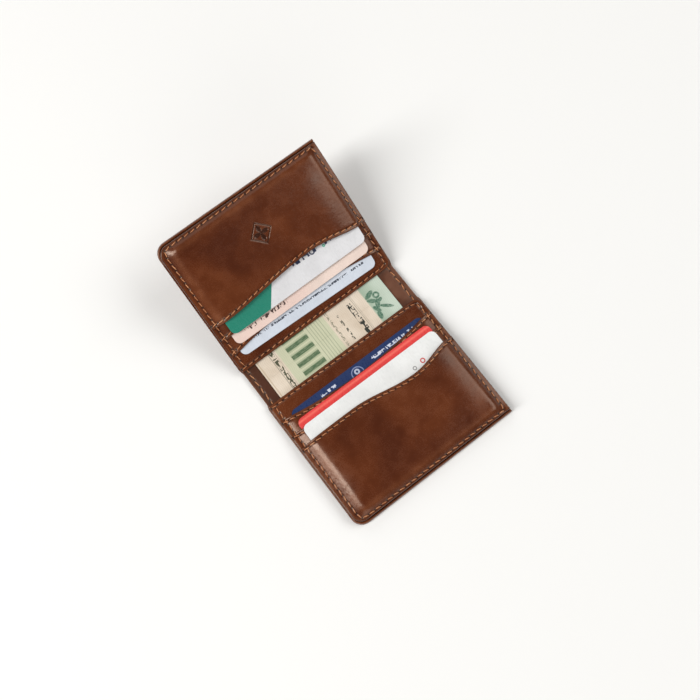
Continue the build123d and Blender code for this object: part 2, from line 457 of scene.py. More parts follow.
def slab(
    name, side, grid, faces_z, material,
    radius=0.5, power=2.2, shade=0.0, wear=0.0, plan=None, bends=False,
):
    """Closed sheet with rounded edges.

    grid is u, s and the distance inside the edge; faces_z the bottom and top heights; plan the
    position that the material sees, where it isn't (u, s).
    """
    u, s, edge = grid
    bottom, top = faces_z
    half = (top - bottom) / 2 * edge_profile(np.maximum(edge, 0), radius, power)
    half[[0, -1], :] = 0
    half[:, [0, -1]] = 0
    seen = plan or (u, s)
    layers = []
    for z in ((top + bottom) / 2 + half, (top + bottom) / 2 - half):
        layers.append(np.stack(np.broadcast_arrays(u, s, z, *seen, z, shade, wear), -1))
    points, faces = shell(*layers)
    place = row_points(side, points[:, :3], bends)
    piece = new_piece(
        name, place, faces, material,
        plan=points[:, 3:6], shade=points[:, 6], wear=points[:, 7],
    )
    if bends:
        flatten_joint(piece, len(u[0]) - 1, len(faces) // 2)
    return piece


def flatten_joint(piece, columns, top_faces):
    """Shade the cut end of a sheet flat, so that it meets its other half without a crease."""
    for start in (0, top_faces):
        for polygon in piece.data.polygons[start:start + columns]:
            polygon.use_smooth = False


# ================================ Materials ================================

class Nodes:
    """A material's node tree, with short calls for the nodes that the materials here use."""

    def __init__(self, name):
        self.material = bpy.data.materials.new(name)
        self.material.use_nodes = True
        self.tree = self.material.node_tree
        self.shader = self.tree.nodes["Principled BSDF"]
        self.plan = self.attribute("plan", "Vector")

    def set(self, socket, value):
        """Give an input a number, a colour or another node's output."""
        if isinstance(value, bpy.types.NodeSocket):
            self.tree.links.new(value, socket)
        elif value is not None:
            socket.default_value = value

    def attribute(self, name, output="Fac"):
        node = self.tree.nodes.new("ShaderNodeAttribute")
        node.attribute_name = name
        return node.outputs[output]

    def math(self, operation, a, b=None, c=None, clamp=False):
        node = self.tree.nodes.new("ShaderNodeMath")
        node.operation = operation
        node.use_clamp = clamp
        for socket, value in zip(node.inputs, (a, b, c)):
            self.set(socket, value)
        return node.outputs[0]

    def times(self, a, b, clamp=False):
        return self.math("MULTIPLY", a, b, clamp=clamp)

    def scaled(self, factors):
        """The plan position with each axis multiplied by its factor."""
        node = self.tree.nodes.new("ShaderNodeVectorMath")
        node.operation = "MULTIPLY"
        self.set(node.inputs[0], self.plan)
        node.inputs[1].default_value = factors
        return node.outputs[0]

    def axes(self):
        node = self.tree.nodes.new("ShaderNodeSeparateXYZ")
        self.set(node.inputs[0], self.plan)
        return node.outputs[0], node.outputs[1]

    def noise(self, size, detail=3.0, roughness=0.5, stretch=(1, 1, 1), distortion=0.0):
        """Noise whose features are about size mm."""
        node = self.tree.nodes.new("ShaderNodeTexNoise")
        self.set(node.inputs["Vector"], self.scaled([f / size for f in stretch]))
        node.inputs["Scale"].default_value = 1.0
        node.inputs["Detail"].default_value = detail
        node.inputs["Roughness"].default_value = roughness
        node.inputs["Distortion"].default_value = distortion
        return node.outputs["Fac"]

    def cells(self, size):
        """Rounded cells about size mm across, as in grained leather."""
        node = self.tree.nodes.new("ShaderNodeTexVoronoi")
        node.feature = "SMOOTH_F1"
        self.set(node.inputs["Vector"], self.scaled([1 / size] * 3))
        node.inputs["Scale"].default_value = 1.0
        return node.outputs["Distance"]

    def ramp(self, value, *stops):
        """Colour ramp through (position, sRGB colour) stops."""
        node = self.tree.nodes.new("ShaderNodeValToRGB")
        elements = node.color_ramp.elements
        while len(elements) < len(stops):
            elements.new(0.5)
        for element, (position, colour) in zip(elements, stops):
            element.position = position
            element.color = srgb(*colour)
        self.set(node.inputs[0], value)
        return node.outputs[0]

    def mix(self, factor, a, b):
        node = self.tree.nodes.new("ShaderNodeMix")
        node.data_type = "RGBA"
        self.set(node.inputs[0], factor)
        self.set(node.inputs[6], a)
        self.set(node.inputs[7], b)
        return node.outputs[2]

    def span(self, value, low, high, start=0.0, finish=1.0):
        """Map low..high to start..finish, clamped."""
        node = self.tree.nodes.new("ShaderNodeMapRange")
        for socket, number in zip(node.inputs, (value, low, high, start, finish)):
            self.set(socket, number)
        return node.outputs[0]

    def bump(self, height, depth, normal=None):
        """Bump whose height of 1 is depth mm."""
        node = self.tree.nodes.new("ShaderNodeBump")
        node.inputs["Strength"].default_value = 1.0
        node.inputs["Distance"].default_value = depth * MM
        self.set(node.inputs["Height"], height)
        self.set(node.inputs["Normal"], normal)
        return node.outputs[0]

    def finish(self, colour, roughness, normal=None, specular=0.5, sheen=0.0, tint=(1, 1, 1, 1)):
        for key, value in (
            ("Base Color", colour),
            ("Roughness", roughness),
            ("Normal", normal),
            ("Specular IOR Level", specular),
            ("Sheen Weight", sheen),
            ("Specular Tint", tint),
        ):
            self.set(self.shader.inputs[key], value)
        return self.material


def srgb(red, green, blue):
    """Linear colour of an sRGB one given as 0 to 255."""
    linear = []
    for value in (red, green, blue):
        x = value / 255
        linear.append(x / 12.92 if x <= 0.04045 else ((x + 0.055) / 1.055) ** 2.4)
    return (*linear, 1.0)


def leather(name, dark, middle, light, gloss=0.40):
    """Pull-up leather: cloudy colour, dark edge paint and painted shade at the seams, holes and creases,
    lighter worn edges and painted highlights, fine grain.
    """
    n = Nodes(name)
    cloud = n.noise(30, detail=2, roughness=0.5, distortion=0.4)
    blotch = n.noise(8, detail=5, roughness=0.6, distortion=0.3)
    speck = n.noise(0.6, detail=3, roughness=0.7)
    tone = n.math("MULTIPLY_ADD", blotch, 0.34, n.times(cloud, 0.6))
    tone = n.math("MULTIPLY_ADD", speck, 0.10, tone)
    colour = n.ramp(tone, (0.38, dark), (0.53, middle), (0.72, light))
    # Lighter where worn at the edges, with painted highlights on the cover's bead and along the pockets'
    # shoulders.
    rub_and_highlight = n.times(n.attribute("wear"), n.span(blotch, 0.3, 0.7, 0.35, 1.0), clamp=True)
    colour = n.mix(rub_and_highlight, colour, srgb(150, 92, 58))
    # Darker with painted shade at seams, stitch holes, grooves and creases, and with dark edge paint.
    colour = n.mix(n.attribute("shade"), colour, srgb(40, 13, 4))
    grain = n.cells(0.62)
    pores = n.noise(0.28, detail=2)
    height = n.math("MULTIPLY_ADD", pores, 0.35, grain)
    folds = n.noise(3.2, detail=4, roughness=0.6, stretch=(1, 1.8, 1))
    normal = n.bump(height, 0.018, n.bump(folds, 0.10))
    roughness = n.span(n.math("ADD", blotch, speck), 0.7, 1.3, gloss - 0.06, gloss + 0.12)
    return n.finish(colour, roughness, normal, specular=0.6, tint=(1.0, 0.79, 0.64, 1.0))


def thread_material():
    """Waxed tan thread, with painted shade where it dives into its holes and between its plies."""
    n = Nodes("thread")
    fibre = n.noise(0.16, detail=2, stretch=(1, 1, 3))
    wax = n.noise(7, detail=2)
    tone = n.math("MULTIPLY_ADD", wax, 0.5, n.times(fibre, 0.5))
    colour = n.ramp(tone, (0.3, (180, 102, 54)), (0.5, (218, 144, 92)), (0.72, (242, 188, 140)))
    colour = n.mix(n.attribute("shade"), colour, srgb(96, 42, 16))
    roughness = n.span(fibre, 0.3, 0.7, 0.45, 0.65)
    return n.finish(colour, roughness, n.bump(fibre, 0.05), specular=0.4, sheen=0.15)


leathers = {
    "cover": leather("cover_leather", (76, 30, 9), (92, 41, 15), (114, 58, 29), 0.24),
    "lining": leather("lining_leather", (68, 34, 20), (88, 50, 34), (112, 72, 54), 0.36),
    "pocket": leather("pocket_leather", (76, 30, 9), (92, 41, 15), (112, 57, 28), 0.23),
}
thread = thread_material()


# ================================ Leather pieces ================================

def add(piece, body, slot, *nodes):
    """Let a finished piece ride on a body and stand for its CAD nodes."""
    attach(piece, body)
    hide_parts(*nodes)


def panel_grid(side, k, fine_to):
    """Grid of a panel from its mouth, or from the base panel's edge if k is None, out to its end.

    Rows are close together up to fine_to from the mouth: what lies beyond is hidden.
    Returns u, s and the distance inside the panel's edge.
    """
    near = base_edge if k is None else mouth_end[k]
    length = panel_end - near
    bands = [(-SEAM_U, 0.9, 0.26), (SEAM_U, 0.9, 0.26)]
    if side == "upper" and k == 2:
        bands.append((MARK_PLACE[0], MARK_SIZE / 2, 0.2))
    columns = graded(-panel_half_width, panel_half_width, 0.55, bands)
    bands = [(HEM_INSET, 1.0, 0.22), (SEAM_END - near, 0.9, 0.24), (fine_to / 2, fine_to / 2, 0.55)]
    if side == "upper" and k == 2:
        bands.append((MARK_PLACE[1] - near, MARK_SIZE / 2, 0.2))
    rows = graded(0, length, 2.2, bands)
    u, along = np.meshgrid(columns, rows)
    start = np.full(u.shape, near) if k is None else mouth(side, k, u)
    s = start + along + (near - start) * np.clip((along - 4) / (length - 8), 0, 1)
    radius = CORNER_RADIUS - (half_width - panel_half_width)
    u, s = round_corner(u, s, (-panel_half_width, panel_end), (-1, 1), radius)
    near_radius = 0
    if k is None:
        near_radius = BASE_CORNER_RADIUS
        u, s = round_corner(u, s, (panel_half_width, near), (1, -1), near_radius)
    box = (-panel_half_width, panel_half_width, near if k is None else -FAR, panel_end)
    edge = inside_distance(u, s, box, (radius, 0, 0, near_radius))
    if k is not None:
        edge = np.minimum(edge, s - mouth(side, k, u))
    return u, s, edge


def mark_depth(u, s):
    """Share of full depth of the debossed mark: a lozenge frame round a four-petalled flower."""
    across = u - MARK_PLACE[0]
    along = s - MARK_PLACE[1]
    lozenge = np.abs(across) + np.abs(along)
    frame_line = bell(lozenge - 6.0, 0.5)
    radius = np.hypot(across, along)
    petals = 4.2 * np.abs(np.cos(2 * np.arctan2(along, across)))
    flower = smooth(0.35, -0.35, radius - petals)
    return np.clip(frame_line + flower, 0, 1)


def edge_paint_and_seam_shade(edge, dark):
    """Darker edge paint out at the edge, added to dark: the painted shade of the seams and their holes, and
    the debossed mark where there is one.
    """
    return np.clip(dark + 0.55 * bell(edge, 0.5), 0, 0.95)


def hide_place(side, k, u, s):
    """Where on the hide a panel was cut, so that no two panels have the same marks."""
    return u + 131 * SIDES.index(side), s + 97 * k


def add_panel(name, side, cut, grid, faces_z, dark, wear):
    """Add a sewn panel. cut tells apart the places on the hide that panels come from."""
    u, s, edge = grid
    # shade: painted shade of the seams and holes, with dark edge paint. The lighter attribute: worn edges,
    # and the painted highlight passed in for pockets.
    piece = slab(
        f"{name}_leather", side, grid, faces_z, leathers["pocket"],
        shade=edge_paint_and_seam_shade(edge, dark), wear=wear + 0.3 * bell(edge - 0.7, 0.5),
        plan=hide_place(side, cut, u, s),
    )
    add(piece, f"{side}_half", "pocket_leather", name)


def build_base_panel(side):
    grid = panel_grid(side, None, 16.0)
    u, s = grid[:2]
    room = inside_distance(u, s, (-43.6, 43.6, -FAR, 72.0), (2, 2, 0, 0))
    bottom = lining_top + BILL_ROOM * smooth(-0.6, 0.6, room)
    depth, dark = dents(u, s, [perimeter_path()])
    hem_depth, hem_dark = dents(u, s, [base_hem_path()], pull=SUNK)
    depth = np.maximum(depth, hem_depth)
    dark = np.maximum(dark, hem_dark)
    top = base_top + 0.1 * np.sin(u / 8.0) * bell(s - base_edge, 4) - depth
    add_panel(f"{side}_base_panel", side, len(POCKETS), grid, (bottom, top), dark, 0.0)


def build_pocket(side, k, skin):
    front = POCKETS[k] == "front"
    grid = panel_grid(side, k, 50.0 if front else 11.0)
    u, s = grid[:2]
    bottom = sample(skin[0], u, s)
    depth, dark = dents(u, s, [perimeter_path(), hem_path(side, k)])
    if front and side == "upper":
        mark = mark_depth(u, s)
        depth = depth + 0.3 * mark
        dark = np.clip(dark + 0.85 * mark, 0, 1)
    top = np.maximum(sample(skin[1], u, s) - depth, bottom + 0.12)
    # A lighter band along the shoulder just inside the seam: a painted highlight, strongest on the front
    # pocket.
    shoulder = bell(seam_distance(u, s) - 3.2, 1.6) * (0.25 if front else 0.1)
    add_panel(f"{side}_{POCKETS[k]}_pocket", side, k, grid, (bottom, top), dark, shoulder)


def strip_grid(width_at, far, step):
    """Grid of a sheet that runs from the middle of the spine out to far."""
    bands = [(-SEAM_U, 1.0, 0.3), (SEAM_U, 1.0, 0.3)]
    columns = graded(-half_width, half_width, step, bands)
    rows = graded(-spine_width / 2, far, step, [(0, CREASE + 1, 0.5), (far - 2.5, 2.5, 0.3)])
    rows = np.concatenate([rows[:1], rows])
    u, s = np.meshgrid(columns, rows)
    return u * width_at(s) / half_width, s


def blended(piece, side, slot, *nodes):
    """Bake a piece's placement into its mesh and hide the CAD nodes that it stands for."""
    if side == "lower":
        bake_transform(piece)
    else:
        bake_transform(piece)
    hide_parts(*nodes)


def widening(outer):
    """Half width of a sheet along its length: the spine's own, growing to outer past the fold."""
    return lambda s: spine_half_width + (outer - spine_half_width) * smooth(-1.0, 3.0, s)


def build_cover(side):
    width_at = widening(half_width)
    u, s = strip_grid(width_at, half_depth, 0.8)
    u, s = round_corner(u, s, (-half_width, half_depth), (-1, 1), CORNER_RADIUS)
    outline = inside_distance(u, s, (-half_width, half_width, -FAR, half_depth), (CORNER_RADIUS, 0, 0, 0))
    edge = np.minimum(outline, width_at(s) - np.abs(u))
    from_border = inside_distance(u, s, (-half_width, FAR, -FAR, half_depth), (CORNER_RADIUS, 0, 0, 0))
    bead = np.sqrt(np.clip(1 - ((from_border - 0.82) / 0.76) ** 2, 0, 1))
    bead = bead * smooth(half_depth - 11, half_depth - 5, s)
    groove = 0.4 * bell(line_distance(u, s, whole_seam()), 0.75)
    # Dark edge paint at the edge, and painted shade in the stitch groove.
    shade = np.clip(0.4 * bell(edge, 0.4) + 0.5 * groove, 0, 1)
    faces_z = (groove, cover_top + 1.25 * bead)
    # The rolled bead is lighter: rub wear and a painted highlight.
    piece = slab(
        f"{side}_cover_leather", side, (u, s, edge), faces_z, leathers["cover"],
        radius=0.6, shade=shade, wear=0.35 * bead, bends=True,
    )
    spine_node = ["spine_cover"] if side == "lower" else []
    blended(piece, side, "cover_leather", f"{side}_cover", *spine_node)


def build_lining(side):
    width_at = widening(panel_half_width)
    u, s = strip_grid(width_at, panel_end, 0.9)
    radius = CORNER_RADIUS - (half_width - panel_half_width)
    u, s = round_corner(u, s, (-panel_half_width, panel_end), (-1, 1), radius)
    outline = inside_distance(u, s, (-panel_half_width, panel_half_width, -FAR, panel_end), (radius, 0, 0, 0))
    edge = np.minimum(outline, width_at(s) - np.abs(u))
    depth, dark = dents(u, s, spine_seams())
    # Painted shade at the seams and their holes, and in the crease along the fold line.
    shade = np.clip(dark + 0.3 * bell(s, 1.6), 0, 1)
    faces_z = (np.full(u.shape, cover_top), lining_top - depth)
    piece = slab(
        f"{side}_lining_leather", side, (u, s, edge), faces_z, leathers["lining"],
        radius=0.3, shade=shade, wear=0.4 * bell(edge, 0.5), bends=True,
    )
    spine_node = ["spine_lining"] if side == "lower" else []
    blended(piece, side, "lining_leather", f"{side}_lining", *spine_node)


# ================================ Thread ================================

def spine_seams():
    """The two short seams of a half's part of the spine, from its middle out under the base panel."""
    along = np.linspace(-spine_width / 2 + 0.1, base_edge + HEM_INSET, 60)
    return [np.stack([np.full(along.shape, edge_u), along], -1) for edge_u in (-SEAM_U, SEAM_U)]


def whole_seam():
    """Every point of the seam that shows on the outside of a half and its part of the spine."""
    return np.concatenate([perimeter_path(), *spine_seams()])


def stitches(path, height_at, up=1):
    """Slanted two-ply stitches along a seam, from hole to hole.

    Returns their points in the half's frame, with the painted shade of each, and their quads.
    """
    holes = even_points(path, PITCH)
    step = holes[1:] - holes[:-1]
    length = np.linalg.norm(step, axis=1)
    count = len(step)
    heading = np.arctan2(step[:, 1], step[:, 0]) + SLANT + rng.normal(0, 0.035, count)
    along = np.stack([np.cos(heading), np.sin(heading)], -1)
    side = np.stack([-along[:, 1], along[:, 0]], -1)
    t = np.linspace(0, 1, RINGS)
    reach = (2 * t - 1) * (length[:, None] / 2 - 0.26)
    middle = (holes[1:] + holes[:-1]) / 2 + side * rng.normal(0, 0.05, (count, 1))
    line = middle[:, None] + along[:, None] * reach[..., None]
    arch = np.broadcast_to(np.sin(math.pi * t) ** 0.6, (count, RINGS))
    ground = height_at(line[..., 0], line[..., 1])
    bridge = ground[:, :1] * (1 - t) + ground[:, -1:] * t
    level = np.maximum(ground, bridge) + up * (0.56 * arch - 0.44)
    turn = math.tau * (1.7 * t + rng.random((count, 1)))
    radius = STRAND_RADIUS * (0.55 + 0.45 * arch)
    round_angle = np.arange(ROUND) * math.tau / ROUND
    strands = []
    for offset in (0, math.pi):
        lean = (turn + offset)[..., None]
        across = PLY_OFFSET * np.cos(lean) + radius[..., None] * np.cos(round_angle)
        height = PLY_OFFSET * np.sin(lean) + radius[..., None] * np.sin(round_angle)
        # Painted shade near the holes, where the thread dives in, and on the inner side of each ply, where
        # the plies touch.
        inner = np.maximum(0, -np.cos(lean - round_angle))
        dark = np.clip(0.8 * (1 - arch[..., None]) ** 1.5 + 0.7 * inner**2, 0, 1)
        flat = line[:, :, None] + side[:, None, None] * across[..., None]
        raised = (level[..., None] + height)[..., None]
        strands.append(np.concatenate([flat, raised, dark[..., None]], -1))
    points = np.stack(strands, 1)
    number = np.arange(points[..., 0].size).reshape(-1, RINGS, ROUND)
    ring = np.concatenate([number, number[..., :1]], -1)
    walls = np.stack([ring[:, :-1, :-1], ring[:, :-1, 1:], ring[:, 1:, 1:], ring[:, 1:, :-1]], -1)
    first = number[:, 0]
    last = number[:, -1]
    caps = [first[:, [3, 2, 1, 0]], first[:, [0, 5, 4, 3]], last[:, [0, 1, 2, 3]], last[:, [3, 4, 5, 0]]]
    return points.reshape(-1, 4), np.concatenate([walls.reshape(-1, 4), *caps])


def thread_piece(name, side, rows, bends=False):
    """One piece of thread from rows of stitches."""
    points = np.concatenate([row[0] for row in rows])
    starts = np.cumsum([0] + [len(row[0]) for row in rows[:-1]])
    faces = np.concatenate([row[1] + start for row, start in zip(rows, starts)])
    place = row_points(side, points, bends)
    return new_piece(name, place, faces, thread, plan=points[:, :3], shade=points[:, 3])


def surface(side, skins):
    """Function giving the height of whatever leather lies on top at u and s."""
    def height_at(u, s):
        height = np.full(np.shape(u), base_top)
        for k, skin in enumerate(skins):
            height = np.where(s > mouth(side, k, u), sample(skin[1], u, s), height)
        return height
    return height_at


def underside(u, s):
    """Height of the outside stitches, down in their groove."""
    return np.full(np.shape(u), 0.2)


def build_threads(side, skins):
    body = f"{side}_half"
    height_at = surface(side, skins)
    seams = {
        "perimeter_stitches": [
            stitches(perimeter_path(), height_at),
            stitches(perimeter_path(), underside, up=-1),
        ],
        "base_hem_stitches": [
            stitches(base_hem_path(), lambda u, s: np.full(np.shape(u), base_top - SUNK)),
        ],
    }
    for k, name in enumerate(POCKETS):
        seams[f"{name}_hem_stitches"] = [stitches(hem_path(side, k), height_at)]
        if name != "front":
            low, high = node_box(f"lower_{name}_bottom_seam")
            seam_s = fold_y["lower"] - (low[1] + high[1]) / 2
            row = np.linspace((low[0], seam_s), (high[0], seam_s), 60)
            skin_top = skins[k][1]
            seams[f"{name}_bottom_seam"] = [
                stitches(row, lambda u, s, skin_top=skin_top: sample(skin_top, u, s)),
            ]
    for name, rows in seams.items():
        add(thread_piece(f"{side}_{name}_thread", side, rows), body, "thread", f"{side}_{name}")
    rows = []
    for path in spine_seams():
        rows.append(stitches(path, lambda u, s: np.full(np.shape(u), lining_top)))
        rows.append(stitches(path, underside, up=-1))
    spine_node = ["spine_stitches"] if side == "lower" else []
    blended(thread_piece(f"{side}_spine_thread", side, rows, bends=True), side, "thread", *spine_node)


# ================================ Cards and banknote ================================

def build_card(side, k, material):
    """Bank card with rounded corners and a crisp small bevel."""
    name = CARDS[side][k]
    middle_u, middle_s = card_place(side, k)
    tilt = CARD_TILT.get(name, 0.0)
    columns = graded(-CARD_HALF_WIDTH, CARD_HALF_WIDTH, 2.5, finest=0.03)
    rows = graded(-CARD_HALF_HEIGHT, CARD_HALF_HEIGHT, 2.5, finest=0.03)
    a, b = np.meshgrid(columns, rows)
    for toward in ((-1, -1), (1, -1), (-1, 1), (1, 1)):
        corner = (toward[0] * CARD_HALF_WIDTH, toward[1] * CARD_HALF_HEIGHT)
        a, b = round_corner(a, b, corner, toward, CARD_RADIUS)
    box = (-CARD_HALF_WIDTH, CARD_HALF_WIDTH, -CARD_HALF_HEIGHT, CARD_HALF_HEIGHT)
    edge = inside_distance(a, b, box, (CARD_RADIUS,) * 4)
    u = middle_u + a * math.cos(tilt) - b * math.sin(tilt)
    s = middle_s + a * math.sin(tilt) + b * math.cos(tilt)
    faces_z = (np.full(u.shape, card_floor[k]), np.full(u.shape, card_top[k]))
    piece = slab(
        f"{side}_{name}_card_plastic", side, (u, s, edge), faces_z, material,
        radius=0.12, power=2.4, plan=(a, b + CARD_HALF_HEIGHT),
    )
    add(piece, f"{side}_{name}_card", f"{name}_card", f"{side}_{name}_card")


def build_note(side, material):
    """Half of the folded banknote: two leaves with the fold on the right, bending at the crease."""
    low, high = node_box(f"banknote_{side}_leaf")
    left, right = low[0], high[0]
    note_end = fold_y["lower"] - node_box("banknote_lower_leaf")[0][1]
    top_length = right - left - NOTE_TURN
    bottom_length = NOTE_LONG - top_length - math.pi * NOTE_TURN
    t = graded(0, NOTE_LONG, 0.9, [(top_length, 1.0, 0.06)], finest=0.04)
    v = graded(-spine_width / 2, note_end, 0.9, finest=0.04)
    along, s = np.meshgrid(t, v)
    arc = np.clip((along - top_length) / NOTE_TURN, 0, math.pi)
    past = np.maximum(along - top_length - math.pi * NOTE_TURN, 0)
    u = left + np.minimum(along, top_length) + NOTE_TURN * np.sin(arc) - past
    leaf = (1 + np.cos(arc)) / 2
    z = lining_top + 0.09 + 2 * NOTE_TURN * leaf
    free = smooth(1.5, -5.0, s)
    wave = 0.28 + 0.2 * np.sin(u / 7.0 + 0.6) + 0.12 * np.sin(u / 3.1 + s / 4.0)
    z = z + free * wave * (0.35 + 0.65 * leaf)
    edge = np.minimum(np.minimum(along, NOTE_LONG - along), np.minimum(note_end - s, s + spine_width / 2 + 1))
    half = NOTE_SHEET / 2 * edge_profile(np.maximum(edge, 0), 0.06)
    half[[0, -1], :] = 0
    half[:, [0, -1]] = 0
    across = s + spine_width / 2 if side == "upper" else -(s + spine_width / 2)
    layers = []
    for sign in (1, -1):
        out_u = u + sign * half * np.sin(arc)
        out_z = z + sign * half * np.cos(arc)
        layers.append(np.stack(np.broadcast_arrays(out_u, s, out_z, along, across, 0.0), -1))
    points, faces = shell(*layers)
    piece = new_piece(
        f"banknote_{side}_half", row_points(side, points[:, :3], True), faces, material, plan=points[:, 3:6]
    )
    nodes = [f"banknote_{side}_leaf"] + (["banknote_middle_leaf"] if side == "lower" else [])
    blended(piece, side, "banknote_paper", *nodes)


def banded(n, value, low, high, soft=0.12):
    """1 where a value lies between low and high, with soft edges."""
    rise = n.span(value, low - soft, low + soft)
    return n.times(rise, n.span(value, high + soft, high - soft))


def patch(n, box, soft=0.12):
    """1 inside a box (left, right, near, far) of the plan."""
    across, along = n.axes()
    return n.times(banded(n, across, *box[:2], soft), banded(n, along, *box[2:], soft))


def ring(n, centre, radius, width):
    """1 on a ring of the plan."""
    across, along = n.axes()
    dx = n.math("SUBTRACT", across, centre[0])
    dy = n.math("SUBTRACT", along, centre[1])
    distance = n.math("SQRT", n.math("MULTIPLY_ADD", dx, dx, n.times(dy, dy)))
    return banded(n, distance, radius - width / 2, radius + width / 2)


def dashes(n, box, pitch, fill=0.5):
    """Uneven little strokes inside a box, in groups: print too small to be anything."""
    strokes = n.noise(pitch, detail=0, stretch=(1, 0.3, 1))
    bars = n.noise(pitch, detail=0, stretch=(0.35, 1, 1))
    groups = n.noise(pitch * 6, detail=0, stretch=(1, 0, 0))
    inked = n.math("MAXIMUM", n.span(strokes, 0.52, 0.56), n.span(bars, 0.6, 0.64))
    inked = n.times(inked, n.span(groups, 0.5 - 0.25 * fill, 0.53 - 0.25 * fill))
    return n.times(patch(n, box), inked)


def leaf(n, place, turn, length, width):
    """1 inside an ellipse of the plan."""
    across, along = n.axes()
    dx = n.math("SUBTRACT", across, place[0])
    dy = n.math("SUBTRACT", along, place[1])
    cos, sin = math.cos(math.radians(turn)), math.sin(math.radians(turn))
    a = n.math("MULTIPLY_ADD", dx, cos / length, n.times(dy, sin / length))
    b = n.math("MULTIPLY_ADD", dy, cos / width, n.times(dx, -sin / width))
    reach = n.math("MULTIPLY_ADD", a, a, n.times(b, b))
    return n.span(reach, 1.25, 0.8)


def card_material(name, base, prints, gloss=0.22):
    """Printed plastic: faint mottling and scuffs, and (mask, colour) prints given as functions."""
    n = Nodes(name)
    mottle = n.noise(9, detail=4)
    base_low = [value * 0.965 for value in base]
    colour = n.ramp(mottle, (0.35, base_low), (0.65, base))
    for mask, ink in prints:
        colour = n.mix(mask(n), colour, srgb(*ink))
    scuff = n.noise(1.6, detail=4, roughness=0.65, stretch=(1, 0.5, 1))
    roughness = n.span(scuff, 0.35, 0.7, gloss, gloss + 0.16)
    return n.finish(colour, roughness, n.bump(scuff, 0.001), specular=0.5)


def note_material():
    """Printed paper: cream ground, a row of green columns under a ledge, and a green corner with leaves."""
    n = Nodes("banknote_paper")
    across, along = n.axes()
    fibre = n.noise(0.5, detail=5, roughness=0.7)
    stain = n.noise(12, detail=3)
    tone = n.math("MULTIPLY_ADD", fibre, 0.35, n.times(stain, 0.65))
    colour = n.ramp(tone, (0.36, (214, 196, 174)), (0.62, (234, 219, 200)))
    tinted = patch(n, (12.3, 43.5, -FAR, FAR), 0.5)
    colour = n.mix(n.times(tinted, 0.8), colour, srgb(200, 205, 172))
    beside = n.math("PINGPONG", n.math("SUBTRACT", along, 1.6), 2.6)
    rows = patch(n, (17.2, 31.0, -FAR, FAR))
    colour = n.mix(n.times(rows, n.span(beside, 2.3, 1.9, 0.0, 0.5)), colour, srgb(160, 172, 136))
    hatch = n.noise(0.5, detail=1, stretch=(0.2, 1, 1))
    bars = n.times(rows, n.span(beside, 1.35, 1.05))
    colour = n.mix(n.times(bars, n.span(hatch, 0.3, 0.6, 0.7, 1.0)), colour, srgb(84, 108, 78))
    ledge = n.math("PINGPONG", across, 0.8)
    ledges = n.times(patch(n, (32.3, 41.5, -FAR, FAR)), n.span(ledge, 0.5, 0.7))
    colour = n.mix(n.times(ledges, 0.5), colour, srgb(128, 140, 106))
    for box, pitch, ink, fill in (
        ((8.6, 10.8, -FAR, FAR), 0.9, (84, 84, 66), 0.8),
        ((57.0, 59.8, -13.0, 7.5), 1.2, (52, 54, 50), 1.0),
        ((49.2, 50.4, -10.0, 6.0), 0.7, (92, 90, 78), 0.8),
        ((44.6, 46.0, -FAR, FAR), 0.5, (150, 144, 124), 0.6),
    ):
        colour = n.mix(dashes(n, box, pitch, fill), colour, srgb(*ink))
    for line, strength in ((8.1, 0.75), (11.4, 0.35), (60.8, 0.5), (61.6, 0.3)):
        drawn = n.times(bell_node(n, n.math("SUBTRACT", across, line), 0.16), strength)
        colour = n.mix(drawn, colour, srgb(70, 74, 58))
    corner = patch(n, (67.2, 84.0, -FAR, FAR), 0.4)
    shade = n.span(n.math("MULTIPLY_ADD", stain, 6.0, across), 70.0, 80.0)
    tint = n.mix(shade, srgb(150, 178, 155), srgb(196, 214, 198))
    colour = n.mix(n.times(corner, 0.85), colour, tint)
    petals = ring(n, (73.3, 2.7), 1.4, 1.1)
    for place, turn, length, width in (
        ((70.2, 4.9), 20, 3.0, 1.3),
        ((69.5, 1.4), -35, 2.6, 1.2),
        ((71.2, -1.6), 62, 2.8, 1.3),
        ((69.2, -3.8), -62, 2.5, 1.1),
        ((73.0, -0.6), 15, 2.0, 1.0),
        ((74.4, -5.4), -38, 3.8, 0.9),
        ((68.6, -7.4), 80, 2.4, 1.3),
    ):
        petals = n.math("MAXIMUM", petals, leaf(n, place, turn, length, width))
    veined = n.span(n.noise(0.9, detail=2, distortion=1.0), 0.35, 0.6, 0.55, 0.95)
    colour = n.mix(n.times(petals, veined), colour, srgb(62, 106, 84))
    waves = n.math("MULTIPLY_ADD", across, 6.0, n.times(n.math("SINE", along), 1.8))
    colour = n.mix(n.span(n.math("SINE", waves), 0.6, 1.0, 0.0, 0.14), colour, srgb(110, 130, 100))
    crease = bell_node(n, n.math("SUBTRACT", across, 1.0), 0.35)
    colour = n.mix(n.times(crease, 0.55), colour, srgb(182, 154, 116))
    crumple = n.noise(4.0, detail=4, roughness=0.6)
    normal = n.bump(fibre, 0.02, n.bump(crumple, 0.15))
    return n.finish(colour, n.span(fibre, 0.3, 0.7, 0.75, 0.9), normal, specular=0.25)


def bell_node(n, value, width):
    """Bell-shaped rise around zero."""
    scaled = n.math("DIVIDE", value, width)
    return n.math("EXPONENT", n.times(n.times(scaled, scaled), -1.0))


